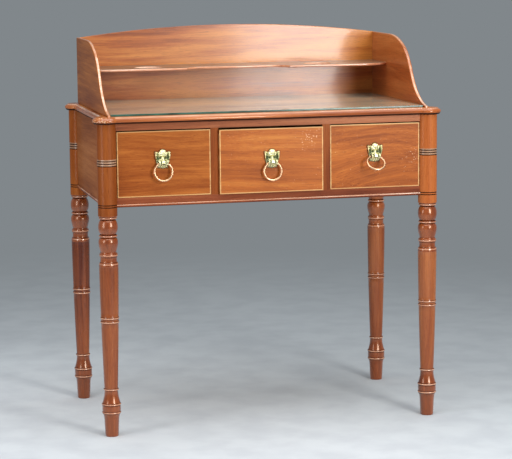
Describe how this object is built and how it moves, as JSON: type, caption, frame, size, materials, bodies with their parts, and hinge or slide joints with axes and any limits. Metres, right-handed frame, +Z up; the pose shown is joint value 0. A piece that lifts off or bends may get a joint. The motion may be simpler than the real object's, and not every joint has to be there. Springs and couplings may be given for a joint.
{
  "type": "washstand",
  "caption": "Wooden washstand with a drawer frieze, ring pulls, turned tapering legs, a glass-covered top and a raised gallery with a pierced shelf.",
  "frame": {"origin": "on the floor under the middle of the whole stand, its rings and ajar drawer included", "axes": "+X to the right seen from the front, +Y to the back, +Z up"},
  "size_m": [0.8974, 0.5269, 1.0009],
  "materials": {
    "mahogany": "old French polish",
    "pine": "bare, aged",
    "boxwood": "polished inlay",
    "brass": "cast, rubbed bright on its high parts",
    "iron": "dull",
    "glass": "clear sheet"
  },
  "bodies": {
    "carcase": {"leg_front_right": "mahogany", "leg_front_left": "mahogany", "leg_back_right": "mahogany", "leg_back_left": "mahogany", "side_panel_right": "mahogany", "side_panel_left": "mahogany", "back_panel": "pine", "top_rail": "mahogany", "bottom_rail": "mahogany", "divider_left": "mahogany", "divider_right": "mahogany", "front_bead": "mahogany", "side_bead_right": "mahogany", "side_bead_left": "mahogany", "drawer_guides": "pine", "kickers": "pine", "drawer_stops": "pine", "glue_blocks": "pine", "top_board": "mahogany", "glass_sheet": "glass", "gallery_side_right": "mahogany", "gallery_side_left": "mahogany", "gallery_back": "mahogany", "gallery_shelf": "mahogany", "runner_left": "pine", "runner_middle_left": "pine", "runner_middle_right": "pine", "runner_right": "pine"},
    "drawer_left": {"drawer_front_left": "mahogany", "drawer_side_left_left": "pine", "drawer_side_right_left": "pine", "drawer_back_left": "pine", "drawer_bottom_left": "pine", "stringing_left": "boxwood", "lion_mask_left": "brass", "pull_nut_left": "iron"},
    "ring_left_body": {"ring_left": "brass"},
    "drawer_middle": {"drawer_front_middle": "mahogany", "drawer_side_left_middle": "pine", "drawer_side_right_middle": "pine", "drawer_back_middle": "pine", "drawer_bottom_middle": "pine", "stringing_middle": "boxwood", "lion_mask_middle": "brass", "pull_nut_middle": "iron"},
    "ring_middle_body": {"ring_middle": "brass"},
    "drawer_right": {"drawer_front_right": "mahogany", "drawer_side_left_right": "pine", "drawer_side_right_right": "pine", "drawer_back_right": "pine", "drawer_bottom_right": "pine", "stringing_right": "boxwood", "lion_mask_right": "brass", "pull_nut_right": "iron"},
    "ring_right_body": {"ring_right": "brass"}
  },
  "joints": [
    {"name": "drawer_left_slide", "type": "slide", "parent": "carcase", "child": "drawer_left", "axis": [0, -1, 0], "range_m": [0, 0.33]},
    {"name": "ring_left_hinge", "type": "hinge", "parent": "drawer_left", "child": "ring_left_body", "pos_m": [-0.27637, -0.2286, 0.6845], "axis": [-1, 0, 0], "range_deg": [-14, 82]},
    {"name": "drawer_middle_slide", "type": "slide", "parent": "carcase", "child": "drawer_middle", "axis": [0, -1, 0], "range_m": [-0.009, 0.321]},
    {"name": "ring_middle_hinge", "type": "hinge", "parent": "drawer_middle", "child": "ring_middle_body", "pos_m": [0, -0.2376, 0.677], "axis": [-1, 0, 0], "range_deg": [-12, 84]},
    {"name": "drawer_right_slide", "type": "slide", "parent": "carcase", "child": "drawer_right", "axis": [0, -1, 0], "range_m": [0, 0.33]},
    {"name": "ring_right_hinge", "type": "hinge", "parent": "drawer_right", "child": "ring_right_body", "pos_m": [0.27137, -0.2286, 0.682], "axis": [-1, 0, 0], "range_deg": [-54, 42]}
  ]
}
